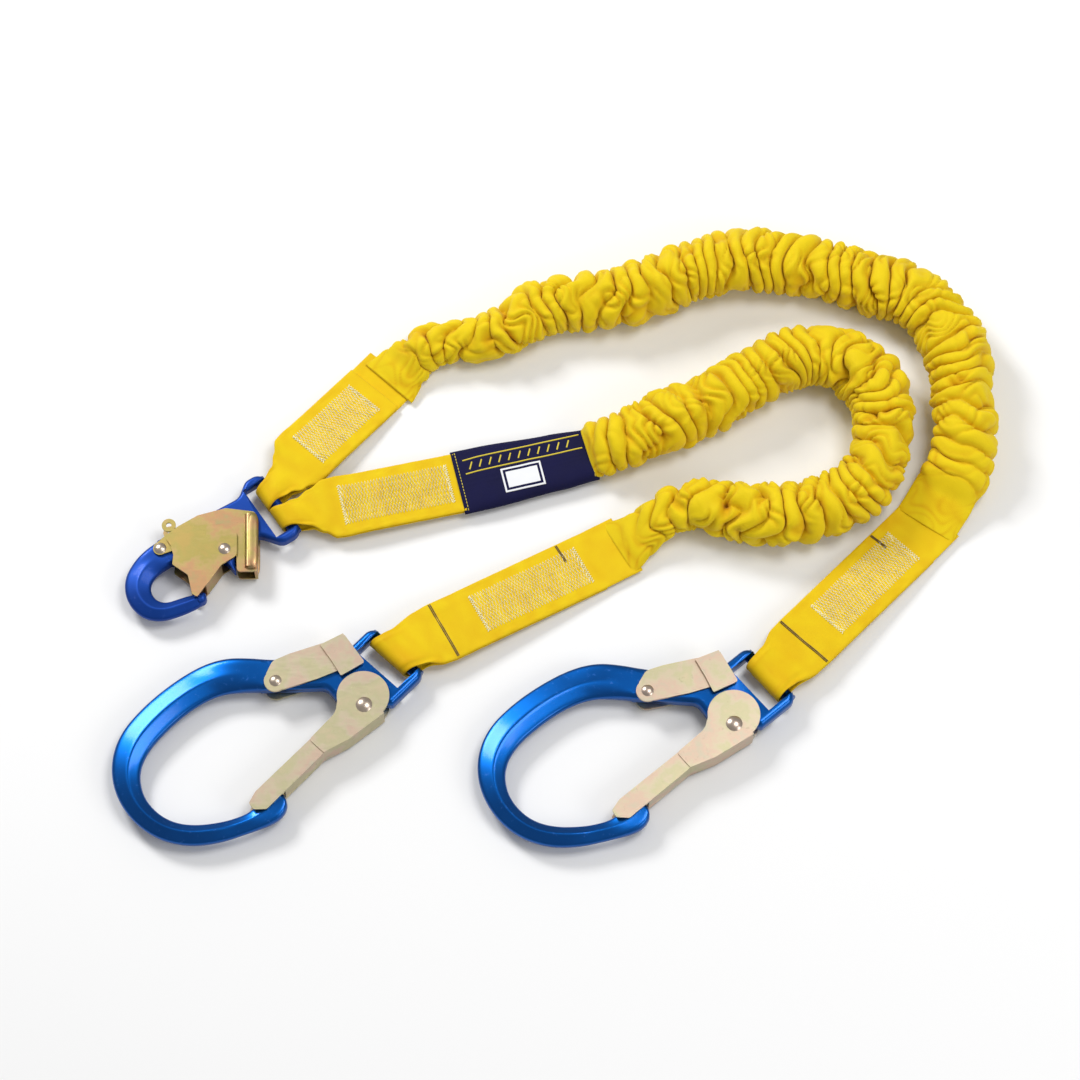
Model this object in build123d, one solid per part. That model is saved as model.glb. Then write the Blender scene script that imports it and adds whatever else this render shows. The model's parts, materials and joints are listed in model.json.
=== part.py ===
from build123d import *
from math import atan2, cos, degrees, dist, pi, radians, sin, tan
import os

# Twin-leg shock absorbing lanyard, laid out on a floor. Millimetres, +Z up, floor at Z = 0.
# A hook's own frame: origin on its gate pivot, x towards its eye, y towards its back, z = 0 mid-plate.

# ---- webbing ----
web_width = 52.0            # flattened tubular webbing
ply = 2.6                   # one flattened layer
loop_inner_radius = 6.0     # free space round an eye bar
loop_neck = 14.0            # a loop stays narrow this far beyond the bar
loop_throat = 30.0          # how far the two layers stay apart beyond the bar
strap_rest = 20.0           # the last of a strap lies flat on the floor
floor_gap = 0.2
stitch_height = 0.5
stitch_margin = 9.0         # bare webbing each side of a stitch block
tack_width = 2.2

# ---- gathered legs ----
leg_diameter = 46.0
core_width = 18.0
core_thickness = 5.0
elastic_thickness = 2.5

# ---- absorber sleeve ----
sleeve_length = 112.0
sleeve_thickness = 15.0
sleeve_wall = 1.8
sleeve_start_width = 57.0
sleeve_end_width = 46.0
sleeve_clearance = 0.4
label_length = 33.0
label_width = 21.0
label_thickness = 0.6
label_along = 52.0
label_across = -9.0
booklet_inset = 12.0
booklet_width = 36.0

# ---- shared hardware fits ----
plate_gap = 0.3             # between plates that slide over each other
fit = 0.05                  # radial clearance on a rivet shank
head_gap = 0.1
clear = 0.5                 # webbing to metal
bore_reach = 20.0           # a rivet bore's cut, past both faces of any hook
through_all = 500.0         # a cutting slab, past every edge of a hook

# ---- rebar hook ----
gate_reach = 120.0          # gate pivot to gate tip
bowl_beyond_gate = 51.5     # bowl inside, past the gate tip
bowl_height = 100.5         # bowl inside, gate line to back
side_bar = 18.5
top_bar = 28.0
bottom_bar = 17.5
nose_overlap = 25.0
rebar_thickness = 14.0
rebar_fillet = 4.5
rebar_plate = 2.0
rebar_joggle = 1.0
gate_head_radius = 20.5
rebar_rivet_radius = 4.0
rebar_small_rivet_radius = 3.0
rebar_lever_pivot = (-33.0, 64.5)
rebar_lever_end = 9.0
eye_bar_radius = 4.6
eye_bar_x = 49.5
eye_slot_start = 28.5
eye_slot_low = -8.5
eye_slot_high = 37.0
eye_arm = 6.5
loop_width = 37.0           # webbing gathered on a rebar hook's eye bar
loop_flare = 34.0           # where it is back at the full webbing width

# ---- snap hook ----
snap_thickness = 12.0
snap_fillet = 3.5
snap_plate = 1.6
snap_gate_reach = 45.0
snap_bowl_inside = 26.5     # across the bowl
snap_bar = 19.5
snap_rivet_radius = 3.0
snap_lever_pivot = (-41.8, 29.5)
snap_lever_end = 5.6        # radius round the lever's rivet and round its ear
snap_ear = (-25.5, 43.0)
snap_ear_hole = 4.4
snap_roll_middle = (19.9, -4.4)
snap_roll_angle = 57.9      # along the thumb pad
snap_roll_radius = 3.4
snap_roll_length = 46.0
snap_eye_bar_x = 56.7
snap_eye_slot_start = 40.3
snap_eye_slot_low = -13.0
snap_eye_slot_high = 37.1
snap_loop_width = 17.0      # each of the two straps, gathered on the snap hook's eye bar
snap_loop_flare = 60.0
snap_loop_offset = 12.6

# ---- springs ----
spring_wire = 1.5
spring_turns = 3
spring_gap = 0.5
rivet_room = 2.0            # under the snap hook's plates, for its rivet heads

# ---- layout on the floor: hook pivots, hook angles and the legs' routes ----
rebar_height = rebar_thickness / 2 + 2 * plate_gap + 2 * rebar_plate + floor_gap
snap_height = snap_thickness / 2 + 2 * plate_gap + 2 * snap_plate + rivet_room
left_hook_place = (-130.5, -99.8, 46.7)
right_hook_place = (157.2, -115.7, 40.4)
snap_hook_place = (-243.8, 33.7, 34.0)
leg_height = leg_diameter / 2 + floor_gap
leg_a_route = [(-112, 196), (-80, 217), (-36, 219), (14, 252), (64, 253), (120, 284), (185, 297),
               (262, 280), (316, 261), (343, 222), (350, 165), (344, 108), (318, 66)]
leg_b_route = [(50, 124), (86, 135), (138, 162), (184, 188), (216, 207), (253, 203), (279, 176),
               (284, 135), (273, 96), (244, 72), (200, 58), (156, 64), (122, 69), (94, 57), (70, 42)]

os.makedirs("parts", exist_ok=True)


def save(shape, name):
    export_step(shape, "parts/" + name + ".step")


def rounded_face(corners):
    """A closed outline of (x, y, corner radius), as a face."""
    points = [(x, y) for x, y, r in corners]
    return make_face(FilletPolyline(*points, radius=[r for x, y, r in corners], close=True))


def slab(face, low, high):
    """A flat face made solid between two heights."""
    return extrude(Pos(0, 0, low) * face, amount=high - low, dir=(0, 0, 1))


def both_sides(face, low, high):
    """Two mirrored plates, one over and one under the hook's middle plane."""
    return slab(face, low, high) + slab(face, -high, -low)


def cylinder_at(x, y, radius, low, high):
    return Pos(x, y, low) * Cylinder(radius, high - low, align=(Align.CENTER, Align.CENTER, Align.MIN))


def place_of(hook, height):
    x, y, angle = hook
    return Pos(x, y, height) * Rot(0, 0, angle)


def spot(hook, x, y):
    """A point of a hook's own frame, on the floor plan."""
    px, py, angle = hook
    c, s = cos(radians(angle)), sin(radians(angle))
    return (px + x * c - y * s, py + x * s + y * c)


def rivet(x, y, radius, half_grip):
    """A shank with a low domed head at each end."""
    head_radius = radius * 1.6
    head_height = radius * 0.55
    dome = (head_radius ** 2 + head_height ** 2) / (2 * head_height)
    cap = Pos(0, 0, head_height - dome) * Sphere(dome)
    cap &= cylinder_at(0, 0, head_radius, 0, head_height * 2)
    top = Pos(x, y, half_grip) * cap
    bottom = Pos(x, y, -half_grip) * Rot(180, 0, 0) * cap
    return top + cylinder_at(x, y, radius, -half_grip, half_grip) + bottom


def coil_spring(x, y, rivet_radius):
    """A torsion spring's coil, round a rivet."""
    middle = rivet_radius + spring_gap + spring_wire / 2
    pitch = spring_wire * 1.15
    height = pitch * spring_turns
    path = Helix(pitch, height, middle)
    section = Plane(origin=path @ 0, z_dir=path % 0) * Circle(spring_wire / 2)
    return Pos(x, y, -height / 2) * sweep(section, path=path, is_frenet=True)


def spring_pocket(x, y, rivet_radius, open_angle, reach):
    """The space for a coil spring in a hook's plate, open at one edge."""
    radius = rivet_radius + 2 * spring_gap + spring_wire
    half = spring_wire * 1.15 * spring_turns / 2 + spring_wire / 2 + spring_gap
    opening = Pos(reach / 2, 0, 0) * Box(reach, 2 * radius, 2 * half)
    return cylinder_at(x, y, radius, -half, half) + Pos(x, y, 0) * Rot(0, 0, open_angle) * opening


# ---------------------------------------------------------------- rebar hook
tip_x = -gate_reach
bowl_left = tip_x - bowl_beyond_gate
nose_end = tip_x + nose_overlap
notch_y = 3.7
rebar_half = rebar_thickness / 2
near_low = rebar_half + plate_gap
near_high = near_low + rebar_plate
pad_low = near_high + plate_gap
pad_high = pad_low + rebar_plate
eye_top = eye_slot_high + eye_arm
eye_bottom = eye_slot_low - eye_arm
eye_end = eye_bar_x + eye_bar_radius


def rebar_hook_body():
    outside = [
        (eye_end, eye_top, 9), (14, eye_top, 12), (-22, 80, 18), (-50, bowl_height + top_bar - 1, 32),
        (bowl_left - side_bar, bowl_height + top_bar, 54), (bowl_left - side_bar, 31, 40),
        (tip_x - 4, -bottom_bar, 12), (nose_end + 1, -bottom_bar - 1, 9)]
    inside = [
        (nose_end, notch_y, 2.5), (tip_x - 1, notch_y, 0.8), (tip_x - 2, 7, 0.8), (tip_x - 7, 8, 6),
        (bowl_left, 41, 30), (bowl_left, bowl_height, 33), (-77, bowl_height, 42), (-9, 33, 9),
        (-12, 4, 6), (-10, -9.5, 7), (13, -10.5, 3), (16, eye_bottom, 3), (eye_end, eye_bottom, 9)]
    body = slab(rounded_face(outside + inside), -rebar_half, rebar_half)
    body = fillet(body.faces().filter_by(Axis.Z).edges(), rebar_fillet)
    # the nose is slimmer where the gate's plates straddle it
    nose = Pos((nose_end + tip_x - 1) / 2 + 2, -4, 0) * Box(nose_overlap + 5, 40, 2 * bore_reach)
    body -= nose & both_sides(Rectangle(through_all, through_all), rebar_half - rebar_joggle, bore_reach)
    slot_width = eye_slot_high - eye_slot_low
    slot_middle = (eye_slot_high + eye_slot_low) / 2
    slot_length = eye_end - eye_slot_start + 5
    slot = Box(slot_length, slot_width, 2 * bore_reach)
    body -= Pos(eye_slot_start + slot_length / 2, slot_middle, 0) * slot
    bar = Cylinder(eye_bar_radius, slot_width + eye_arm)
    body += Pos(eye_bar_x, slot_middle, 0) * Rot(90, 0, 0) * bar
    lx, ly = rebar_lever_pivot
    body -= cylinder_at(0, 0, rebar_rivet_radius + fit, -bore_reach, bore_reach)
    body -= cylinder_at(lx, ly, rebar_small_rivet_radius + fit, -bore_reach, bore_reach)
    body -= spring_pocket(0, 0, rebar_rivet_radius, 250, 16)
    body -= spring_pocket(lx, ly, rebar_small_rivet_radius, 60, 40)
    return body


def rebar_gate():
    near = [
        (-50, -5.2, 3), (-29, -11.5, 14), (4, -16, 6), (10, 0, 3), (-6, 22, 4), (-20, 11.5, 14),
        (-50, 10.5, 3)]
    near_face = rounded_face(near) + Pos(5, 6) * Circle(gate_head_radius)
    finger = [
        (-47, -5.2, 1), (-47, 10.5, 1), (tip_x + 11, 10.5, 4), (tip_x + 1, 7.5, 2), (tip_x, 1, 2),
        (tip_x + 7, -6, 3)]
    finger_face = rounded_face(finger)
    plates = both_sides(near_face, near_low, near_high)
    plates += both_sides(finger_face, near_low - rebar_joggle, near_high - rebar_joggle)
    # the web joins the plates along the outer edge, short of the nose
    web_start = nose_end + 2.5
    near_web = [
        (-50, -5.2, 0.5), (-29, -11.6, 14), (6, -16.2, 0.5), (6, -13.6, 0.5), (-29, -9.2, 12),
        (-50, -2.8, 0.5)]
    web = slab(rounded_face(near_web), -near_high, near_high)
    far_web = [(web_start, -5.6, 0.5), (-47, -5.2, 0.5), (-47, -2.8, 0.5), (web_start, -3.2, 0.5)]
    web += slab(rounded_face(far_web), -near_high + rebar_joggle, near_high - rebar_joggle)
    bridge_y = notch_y + 0.4
    bridge = [
        (tip_x + 2.5, bridge_y, 0.5), (tip_x + 13, bridge_y, 0.5), (tip_x + 13, 7.5, 0.5),
        (tip_x + 2.5, 7, 0.5)]
    gate = plates + web + slab(rounded_face(bridge), -near_low + rebar_joggle, near_low - rebar_joggle)
    return gate - cylinder_at(0, 0, rebar_rivet_radius + fit, -bore_reach, bore_reach)


def rebar_lever():
    lx, ly = rebar_lever_pivot
    arm = [(lx - 2, ly - rebar_lever_end, 3), (lx - 2, ly + rebar_lever_end, 3), (-23, 78, 8),
           (-10, 73, 20), (16, 59.5, 2), (9, 34, 2), (-10, 42, 20)]
    arm_face = rounded_face(arm) + Pos(lx, ly) * Circle(rebar_lever_end)
    arm_face -= Pos(5, 6) * Circle(gate_head_radius + plate_gap)
    pad = [(13, 59.5, 1), (31.5, 53.5, 3), (25.5, 24, 2), (4.5, 29.5, 1)]
    pad_face = rounded_face(pad) - Pos(5, 6) * Circle(gate_head_radius + plate_gap)
    lever = both_sides(arm_face, near_low, near_high)
    # the thumb pad stands one plate higher, and a web closes its back
    lever += both_sides(pad_face, pad_low, pad_high)
    step = [(12, 59.8, 0.3), (16, 58.6, 0.3), (9.8, 34, 0.3), (6.5, 34.5, 0.3)]
    lever += both_sides(rounded_face(step), near_low, pad_high)
    back = [(12, 59.8, 0.4), (31.2, 53.6, 0.4), (30.6, 51.2, 0.4), (11.4, 57.4, 0.4)]
    lever += slab(rounded_face(back), -pad_high, pad_high)
    return lever - cylinder_at(lx, ly, rebar_small_rivet_radius + fit, -bore_reach, bore_reach)


def rebar_hook(name, hook):
    place = place_of(hook, rebar_height)
    lx, ly = rebar_lever_pivot
    save(place * rebar_hook_body(), name + "_body")
    save(place * rebar_gate(), name + "_gate")
    save(place * rebar_lever(), name + "_lock_lever")
    save(place * rivet(0, 0, rebar_rivet_radius, near_high + head_gap), name + "_gate_rivet")
    save(place * rivet(lx, ly, rebar_small_rivet_radius, near_high + head_gap), name + "_lever_rivet")
    save(place * coil_spring(0, 0, rebar_rivet_radius), name + "_gate_spring")
    save(place * coil_spring(lx, ly, rebar_small_rivet_radius), name + "_lever_spring")


# ---------------------------------------------------------------- snap hook
snap_half = snap_thickness / 2
lever_low = snap_half + plate_gap
lever_high = lever_low + snap_plate
gate_low = lever_high + plate_gap
gate_high = gate_low + snap_plate
snap_eye_top = snap_eye_slot_high + eye_arm
snap_eye_bottom = snap_eye_slot_low - eye_arm
snap_eye_end = snap_eye_bar_x + eye_bar_radius
snap_bowl_left = -snap_gate_reach - 22.5


def snap_hook_body():
    bowl_top = -13.5 + snap_bowl_inside
    outer_left = snap_bowl_left - snap_bar
    outside = [
        (snap_eye_end, snap_eye_top, 9), (46, snap_eye_top, 9), (34, 34, 12), (-14, 36.5, 30),
        (-62, 40, 18), (outer_left, 28, 26), (outer_left, -20, 24), (-66, -24.5, 14),
        (-34, -28, 5), (-31.5, -22, 3)]
    inside = [
        (-36, -18.6, 3), (-54, -12.5, 14), (snap_bowl_left, -12, 11), (snap_bowl_left, bowl_top, 12),
        (-30, bowl_top + 2, 10), (-9, 6, 6), (-6, -9, 6), (9, -9, 6), (14, -3, 6),
        (30, -3, 8), (42, snap_eye_bottom, 9), (snap_eye_end, snap_eye_bottom, 9)]
    body = slab(rounded_face(outside + inside), -snap_half, snap_half)
    body = fillet(body.faces().filter_by(Axis.Z).edges(), snap_fillet)
    # a small spur guards the end of the gate's web
    spur = [(-4, -4, 0.5), (-2.5, -21, 0.8), (4, -7, 1), (4, -3, 0.5)]
    body += slab(rounded_face(spur), 1 - snap_half, snap_half - 1)
    slot_width = snap_eye_slot_high - snap_eye_slot_low
    slot_middle = (snap_eye_slot_high + snap_eye_slot_low) / 2
    slot_length = snap_eye_end - snap_eye_slot_start + 5
    slot = Box(slot_length, slot_width, 2 * bore_reach)
    body -= Pos(snap_eye_slot_start + slot_length / 2, slot_middle, 0) * slot
    bar = Cylinder(eye_bar_radius, slot_width + eye_arm)
    body += Pos(snap_eye_bar_x, slot_middle, 0) * Rot(90, 0, 0) * bar
    lx, ly = snap_lever_pivot
    body -= cylinder_at(0, 0, snap_rivet_radius + fit, -bore_reach, bore_reach)
    body -= cylinder_at(lx, ly, snap_rivet_radius + fit, -bore_reach, bore_reach)
    body -= spring_pocket(0, 0, snap_rivet_radius, 215, 14)
    body -= spring_pocket(lx, ly, snap_rivet_radius, 90, 14)
    return body


def snap_gate():
    plate = [
        (-34, 35, 2), (-15.7, 27, 2), (-7.5, 32, 2), (-2, 25, 3), (12, 18.5, 5), (16, 7, 6),
        (5, -10.5, 6), (-11, -10.5, 6), (5 - snap_gate_reach, -23.5, 1.5), (3 - snap_gate_reach, -19, 1.5),
        (-36, -3, 3), (-41.5, 11.5, 2), (-36.5, 18, 2), (-34, 26, 1.5)]
    gate = both_sides(rounded_face(plate), gate_low, gate_high)
    web = [(-29, -19.0, 0.5), (-9, -10.4, 0.5), (-9.7, -8.6, 0.5), (-29.7, -17.2, 0.5)]
    gate += slab(rounded_face(web), -gate_high, gate_high)
    return gate - cylinder_at(0, 0, snap_rivet_radius + fit, -bore_reach, bore_reach)


def snap_lever():
    lx, ly = snap_lever_pivot
    plate = [
        (lx, ly - snap_lever_end, 2), (lx, ly + snap_lever_end, 2), (-30.5, 37, 2), (-20, 38, 2),
        (-2, 37.5, 4), (20, 30.5, 4),
        (38, 14.5, 3), (11.5, -30.5, 4), (-2, -21.5, 3), (13, 4, 4), (8, 15, 8), (-16, 18, 10)]
    face = rounded_face(plate)
    face += Pos(lx, ly) * Circle(snap_lever_end) + Pos(*snap_ear) * Circle(snap_lever_end)
    lever = both_sides(face, lever_low, lever_high)
    # the thumb pad: a rolled rib on each plate, clear of the open gate, and a folded web past the hook's edge
    roll = Rot(0, 0, snap_roll_angle) * Rot(0, 90, 0) * Cylinder(snap_roll_radius, snap_roll_length)
    for side in (-1, 1):
        rib = Pos(*snap_roll_middle, side * lever_high) * roll
        lever += rib - slab(Rectangle(through_all, through_all), -lever_high, lever_high)
    fold = [(20.5, -15.5, 0.5), (11.4, -30.2, 0.5), (9.4, -28.8, 0.5), (18.8, -14.5, 0.5)]
    lever += slab(rounded_face(fold), -lever_high, lever_high)
    lever -= cylinder_at(*snap_ear, snap_ear_hole / 2, -bore_reach, bore_reach)
    return lever - cylinder_at(lx, ly, snap_rivet_radius + fit, -bore_reach, bore_reach)


def snap_hook():
    place = place_of(snap_hook_place, snap_height)
    lx, ly = snap_lever_pivot
    save(place * snap_hook_body(), "snap_hook_body")
    save(place * snap_gate(), "snap_hook_gate")
    save(place * snap_lever(), "snap_hook_lock_lever")
    save(place * rivet(0, 0, snap_rivet_radius, gate_high + head_gap), "snap_hook_gate_rivet")
    save(place * rivet(lx, ly, snap_rivet_radius, lever_high + head_gap), "snap_hook_lever_rivet")
    save(place * coil_spring(0, 0, snap_rivet_radius), "snap_hook_gate_spring")
    save(place * coil_spring(lx, ly, snap_rivet_radius), "snap_hook_lever_spring")


# ---------------------------------------------------------------- straps
loop_outer_radius = loop_inner_radius + ply
low = ply + floor_gap
sleeve_middle = sleeve_thickness / 2 + floor_gap


def strap_run(start, end):
    """Length and floor angle of a strap from its eye bar to the leg that it carries."""
    return dist(start, end), degrees(atan2(end[1] - start[1], end[0] - start[0]))


def settle_of(length, sleeved):
    """Where a strap ends its slope: on the floor, or at the mouth of the sleeve."""
    if sleeved:
        return length - sleeve_length, sleeve_middle
    return length - strap_rest, low


def loop_room(bar_width, tilt):
    """How far before and behind the eye bar a tilted loop keeps its full inner height."""
    return bar_width / 2 * abs(tan(radians(tilt))) + clear


def strap(start, end, height, bar_width, flare, tilt, sleeved=False):
    """One end strap: a loop round the eye bar, and two layers sewn flat down to the leg."""
    length, angle = strap_run(start, end)
    room = loop_room(bar_width, tilt)
    settle_x, settle_z = settle_of(length, sleeved)
    line = [(loop_throat, height), (settle_x, settle_z), (length, settle_z)]
    top = [(x, z + ply) for x, z in line]
    bottom = [(x, z - ply) for x, z in reversed(line)]
    tail = make_face(Polyline(*top, *bottom, close=True))
    mouth = Line((loop_throat, height - ply), (loop_throat, height + ply))
    hole_mouth = Line((loop_throat - 2, height - 0.1), (loop_throat - 2, height + 0.1))
    outer_ends = [Pos(x, height) * Circle(loop_outer_radius).edge() for x in (-room, room)]
    hole_ends = [Pos(x, height) * Circle(loop_inner_radius).edge() for x in (-room, room)]
    wrap = make_face(make_hull(outer_ends + [mouth])) - make_face(make_hull(hole_ends + [hole_mouth]))
    solid = extrude(Plane.XZ * (wrap + tail), amount=web_width, both=True)
    back = -room - loop_outer_radius - 2
    half = web_width / 2
    end_half = sleeve_end_width / 2 - sleeve_wall - sleeve_clearance if sleeved else half
    plan = [
        (back, bar_width / 2), (loop_neck, bar_width / 2), (flare, half), (settle_x, half),
        (length, end_half)]
    mirrored = [(x, -y) for x, y in reversed(plan)]
    solid &= slab(make_face(Polyline(*plan, *mirrored, close=True)), -50, 50)
    return Pos(start[0], start[1], 0) * Rot(0, 0, angle) * solid


def on_strap(start, end, height, along, side=1, sleeved=False):
    """A place on a strap's upper or lower face, this far along it."""
    length, angle = strap_run(start, end)
    settle_x, settle_z = settle_of(length, sleeved)
    slope = (height - settle_z) / (settle_x - loop_throat)
    z = height - slope * (along - loop_throat) + side * ply
    tilt = degrees(atan2(slope, 1))
    return Pos(start[0], start[1], 0) * Rot(0, 0, angle) * Pos(along, 0, z) * Rot(0, tilt, 0)


def stitch_blocks(start, end, height, first, last, sleeved=False):
    """The zigzag stitch blocks on both faces of a strap."""
    width = web_width - 2 * stitch_margin
    block = Box(last - first, width, stitch_height, align=(Align.MIN, Align.CENTER, Align.MIN))
    upper = on_strap(start, end, height, first, 1, sleeved) * block
    lower = on_strap(start, end, height, first, -1, sleeved) * Pos(0, 0, -stitch_height) * block
    return upper + lower


def tack_line(start, end, height, first):
    """A dark marking seam across the full width of a strap."""
    seam = Box(tack_width, web_width - 4, stitch_height, align=(Align.MIN, Align.CENTER, Align.MIN))
    return on_strap(start, end, height, first) * seam


# ---------------------------------------------------------------- gathered legs
def route_radii(points):
    """The largest even bend at each point of a route."""
    radii = []
    for before, here, after in zip(points, points[1:], points[2:]):
        run = min(dist(before, here), dist(here, after))
        way_in = Vector(here[0] - before[0], here[1] - before[1])
        way_out = Vector(after[0] - here[0], after[1] - here[1])
        turn = radians(way_in.get_angle(way_out))
        radii.append(0.45 * run / tan(turn / 2))
    return radii


def leg(name, route):
    """A gathered tubular cover with its absorber core and elastic inside."""
    points = [(x, y, leg_height) for x, y in route]
    radii = route_radii(route)
    path = FilletPolyline(*points, radius=radii)
    frame = Plane(origin=path @ 0, x_dir=(0, 0, 1), z_dir=path % 0)
    bore_height = core_thickness + elastic_thickness
    cover = sweep(frame * (Circle(leg_diameter / 2) - Rectangle(bore_height, core_width)), path=path)
    core = sweep(frame * Pos(elastic_thickness / 2, 0) * Rectangle(core_thickness, core_width), path=path)
    band = sweep(frame * Pos(-core_thickness / 2, 0) * Rectangle(elastic_thickness, core_width), path=path)
    save(cover, name + "_gathered_cover")
    save(core, name + "_absorber_core")
    save(band, name + "_elastic_band")
    section = pi * leg_diameter ** 2 / 4 - bore_height * core_width
    print(name, "length", round(path.length), "radii", [round(r) for r in radii])
    print(name, "cover volume / (section x length) =", round(cover.volume / (section * path.length), 4))


# ---------------------------------------------------------------- absorber sleeve
def sleeve_place(start, end):
    """The middle of the sleeve's first end; its other end stands where its leg begins."""
    length, angle = strap_run(start, end)
    return Pos(start[0], start[1], sleeve_middle) * Rot(0, 0, angle) * Pos(length - sleeve_length, 0, 0)


def tapered_block(first_width, last_width, thickness, radius):
    """A flat tapered block along X, with rounded long edges."""
    ends = []
    for x, width in ((0, first_width), (sleeve_length, last_width)):
        ends.append(Plane.YZ.offset(x) * RectangleRounded(width, thickness, radius))
    return loft(ends)


def sleeve(start, end):
    wall = 2 * sleeve_wall
    outer = tapered_block(sleeve_start_width, sleeve_end_width, sleeve_thickness, sleeve_thickness * 0.4)
    inner = tapered_block(sleeve_start_width - wall, sleeve_end_width - wall, sleeve_thickness - wall,
                          sleeve_thickness * 0.4 - sleeve_wall)
    return sleeve_place(start, end) * (outer - inner)


def label_booklet(start, end):
    """The folded inspection labels kept in the sleeve, on the strap."""
    height = sleeve_thickness / 2 - sleeve_wall - ply - 2 * sleeve_clearance
    length = sleeve_length - 2 * booklet_inset
    sheet = Box(length, booklet_width, height, align=(Align.MIN, Align.CENTER, Align.MIN))
    return sleeve_place(start, end) * Pos(booklet_inset, 0, ply + sleeve_clearance) * sheet


def sleeve_label(start, end):
    """The framed blank label on the sleeve's face."""
    patch = Box(label_length, label_width, label_thickness, align=(Align.CENTER, Align.CENTER, Align.MIN))
    return sleeve_place(start, end) * Pos(label_along, label_across, sleeve_thickness / 2) * patch


# ---------------------------------------------------------------- assembly
rebar_eye_middle = (eye_slot_low + eye_slot_high) / 2
snap_eye_middle = (snap_eye_slot_low + snap_eye_slot_high) / 2
left_eye = spot(left_hook_place, eye_bar_x, rebar_eye_middle)
right_eye = spot(right_hook_place, eye_bar_x, rebar_eye_middle)
snap_eye_a = spot(snap_hook_place, snap_eye_bar_x, snap_eye_middle + snap_loop_offset)
snap_eye_b = spot(snap_hook_place, snap_eye_bar_x, snap_eye_middle - snap_loop_offset)

straps = {
    # name: eye bar, leg's end, eye height, loop width, flare, hook, stitching from and to, marking seam
    "leg_a_snap": (snap_eye_a, leg_a_route[0], snap_height, snap_loop_width, snap_loop_flare,
                   snap_hook_place, (50, 116), None),
    "leg_b_snap": (snap_eye_b, leg_b_route[0], snap_height, snap_loop_width, snap_loop_flare,
                   snap_hook_place, (46, 134), None),
    "leg_a_rebar": (right_eye, leg_a_route[-1], rebar_height, loop_width, loop_flare,
                    right_hook_place, (68, 160), 40),
    "leg_b_rebar": (left_eye, leg_b_route[-1], rebar_height, loop_width, loop_flare,
                    left_hook_place, (74, 168), 42)}


def end_straps():
    for name, (start, end, height, width, flare, hook, sewn, seam) in straps.items():
        sleeved = name == "leg_b_snap"
        tilt = strap_run(start, end)[1] - hook[2]
        save(strap(start, end, height, width, flare, tilt, sleeved), name + "_strap")
        save(stitch_blocks(start, end, height, sewn[0], sewn[1], sleeved), name + "_stitching")
        if seam:
            save(tack_line(start, end, height, seam), name + "_marking_seam")


if __name__ == "__main__":
    rebar_hook("left_rebar_hook", left_hook_place)
    rebar_hook("right_rebar_hook", right_hook_place)
    snap_hook()
    end_straps()
    leg("leg_a", leg_a_route)
    leg("leg_b", leg_b_route)
    sleeve_run = (snap_eye_b, leg_b_route[0])
    save(sleeve(*sleeve_run), "absorber_sleeve")
    save(label_booklet(*sleeve_run), "sleeve_label_booklet")
    save(sleeve_label(*sleeve_run), "sleeve_face_label")
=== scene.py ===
# Twin-leg shock absorbing lanyard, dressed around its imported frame.
import bmesh
import bpy
import json
import random
from math import atan2, cos, exp, log, pi, radians, sin
from mathutils import Matrix, Vector, noise


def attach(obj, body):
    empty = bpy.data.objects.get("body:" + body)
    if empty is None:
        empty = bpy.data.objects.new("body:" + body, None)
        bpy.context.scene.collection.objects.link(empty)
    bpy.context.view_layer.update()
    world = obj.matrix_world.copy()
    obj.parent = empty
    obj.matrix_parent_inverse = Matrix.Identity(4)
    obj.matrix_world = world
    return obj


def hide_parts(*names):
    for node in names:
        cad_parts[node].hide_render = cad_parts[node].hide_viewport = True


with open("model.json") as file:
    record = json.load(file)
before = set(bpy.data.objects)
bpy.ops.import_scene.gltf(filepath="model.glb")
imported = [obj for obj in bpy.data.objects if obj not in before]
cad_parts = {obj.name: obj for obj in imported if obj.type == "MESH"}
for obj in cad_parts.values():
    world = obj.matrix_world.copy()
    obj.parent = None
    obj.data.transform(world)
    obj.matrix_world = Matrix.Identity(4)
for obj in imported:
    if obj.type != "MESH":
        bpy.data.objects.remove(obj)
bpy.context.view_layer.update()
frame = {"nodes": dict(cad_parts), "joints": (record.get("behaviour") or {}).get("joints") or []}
joints = {j["name"]: j for j in frame["joints"]}
mm = 0.001
scene = bpy.context.scene
scene.view_settings.view_transform = "Standard"


# camera, floor and lights
cameraSetup = {"target": (0.0064, 0.0512, 0.0), "distance": 3.0, "elevation": 65.0, "lens": 125.0}
floorSetup = {"size": 14.0, "drop": 0.0006, "colour": (0.86, 0.86, 0.86)}
lightSetup = [
    {"name": "keyLight", "place": (-1.3, 1.5, 1.7), "size": 0.7, "power": 40.0},
    {"name": "topLight", "place": (1.0, 0.3, 2.65), "size": 1.1, "power": 30.0},
    {"name": "fillLight", "place": (1.7, -1.0, 1.3), "size": 0.9, "power": 10.0},
]


def makeCamera():
    angle = radians(cameraSetup["elevation"])
    target = Vector(cameraSetup["target"])
    back = Vector((0, -cos(angle), sin(angle)))
    camera = bpy.data.objects.new("camera", bpy.data.cameras.new("camera"))
    camera.location = target + back * cameraSetup["distance"]
    camera.rotation_euler = (pi / 2 - angle, 0, 0)
    camera.data.lens = cameraSetup["lens"]
    scene.collection.objects.link(camera)
    scene.camera = camera


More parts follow.
